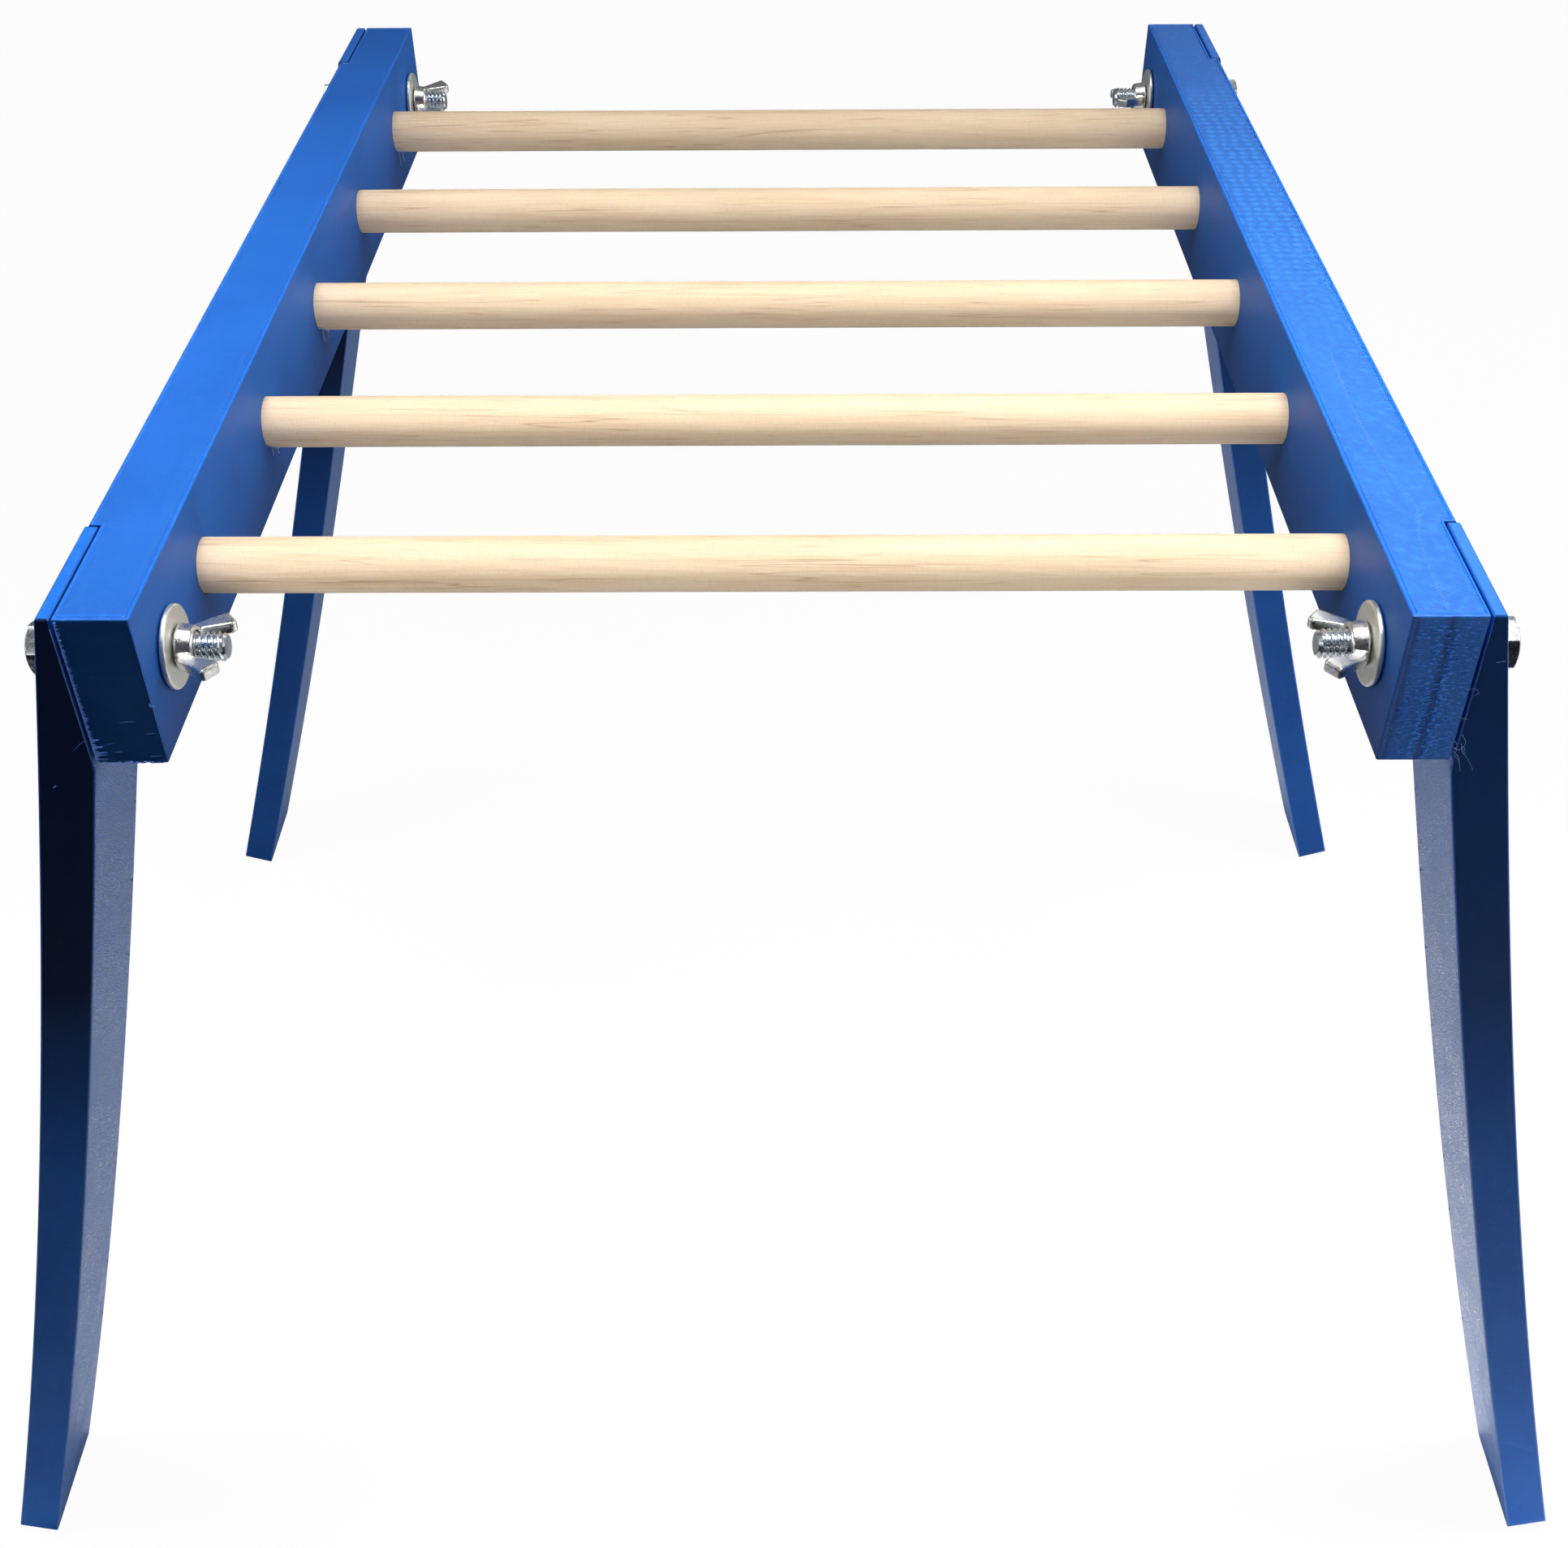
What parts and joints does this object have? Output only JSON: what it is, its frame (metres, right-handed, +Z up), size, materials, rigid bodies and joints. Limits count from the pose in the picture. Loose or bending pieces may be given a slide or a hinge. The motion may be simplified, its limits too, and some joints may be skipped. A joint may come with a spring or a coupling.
{
  "type": "ladder toss frame",
  "caption": "Lawn-game ladder frame: two blue printed rails joined by round wooden rungs, level on splayed legs that are held in corner notches by hex bolts, washers and wing nuts",
  "frame": {"origin": "On the floor, at the centre of the frame's footprint", "axes": "+X is to the right across the rungs, +Y runs along the rails from the front end to the back end, +Z is up"},
  "size_m": [0.4932, 0.355, 0.361],
  "materials": {
    "blue_plastic": "3-D printed blue plastic, satin, with fine print lines",
    "dowel_wood": "bare pale dowel, sanded",
    "zinc_plate": "bright zinc-plated steel"
  },
  "bodies": {
    "frame": {"rail_left": "blue_plastic", "rail_right": "blue_plastic", "rung_1": "dowel_wood", "rung_2": "dowel_wood", "rung_3": "dowel_wood", "rung_4": "dowel_wood", "rung_5": "dowel_wood", "washer_front_left": "zinc_plate", "washer_front_right": "zinc_plate", "washer_back_left": "zinc_plate", "washer_back_right": "zinc_plate"},
    "leg_front_left": {"leg_front_left": "blue_plastic", "bolt_front_left": "zinc_plate"},
    "leg_front_right": {"leg_front_right": "blue_plastic", "bolt_front_right": "zinc_plate"},
    "leg_back_left": {"leg_back_left": "blue_plastic", "bolt_back_left": "zinc_plate"},
    "leg_back_right": {"leg_back_right": "blue_plastic", "bolt_back_right": "zinc_plate"},
    "nut_front_left": {"wing_nut_front_left": "zinc_plate"},
    "nut_front_right": {"wing_nut_front_right": "zinc_plate"},
    "nut_back_left": {"wing_nut_back_left": "zinc_plate"},
    "nut_back_right": {"wing_nut_back_right": "zinc_plate"}
  },
  "joints": [
    {"name": "nut_front_left_spin", "type": "hinge", "parent": "frame", "child": "nut_front_left", "pos_m": [-0.125, -0.1601, 0.3418], "axis": [1, 0, 0], "range_deg": [0, 1800]},
    {"name": "leg_front_left_draw", "type": "slide", "parent": "frame", "child": "leg_front_left", "axis": [-1, 0, 0], "range_m": [0, 0.00635]},
    {"name": "nut_front_right_spin", "type": "hinge", "parent": "frame", "child": "nut_front_right", "pos_m": [0.125, -0.1601, 0.3418], "axis": [-1, 0, 0], "range_deg": [0, 1800]},
    {"name": "leg_front_right_draw", "type": "slide", "parent": "frame", "child": "leg_front_right", "axis": [1, 0, 0], "range_m": [0, 0.00635]},
    {"name": "nut_back_left_spin", "type": "hinge", "parent": "frame", "child": "nut_back_left", "pos_m": [-0.125, 0.1601, 0.3418], "axis": [1, 0, 0], "range_deg": [0, 1800]},
    {"name": "leg_back_left_draw", "type": "slide", "parent": "frame", "child": "leg_back_left", "axis": [-1, 0, 0], "range_m": [0, 0.00635]},
    {"name": "nut_back_right_spin", "type": "hinge", "parent": "frame", "child": "nut_back_right", "pos_m": [0.125, 0.1601, 0.3418], "axis": [-1, 0, 0], "range_deg": [0, 1800]},
    {"name": "leg_back_right_draw", "type": "slide", "parent": "frame", "child": "leg_back_right", "axis": [1, 0, 0], "range_m": [0, 0.00635]}
  ],
  "couplings": [
    {"joint": "nut_front_left_spin", "follows": "leg_front_left_draw", "rad_per_m": 4947.4},
    {"joint": "nut_front_right_spin", "follows": "leg_front_right_draw", "rad_per_m": 4947.4},
    {"joint": "nut_back_left_spin", "follows": "leg_back_left_draw", "rad_per_m": 4947.4},
    {"joint": "nut_back_right_spin", "follows": "leg_back_right_draw", "rad_per_m": 4947.4}
  ]
}
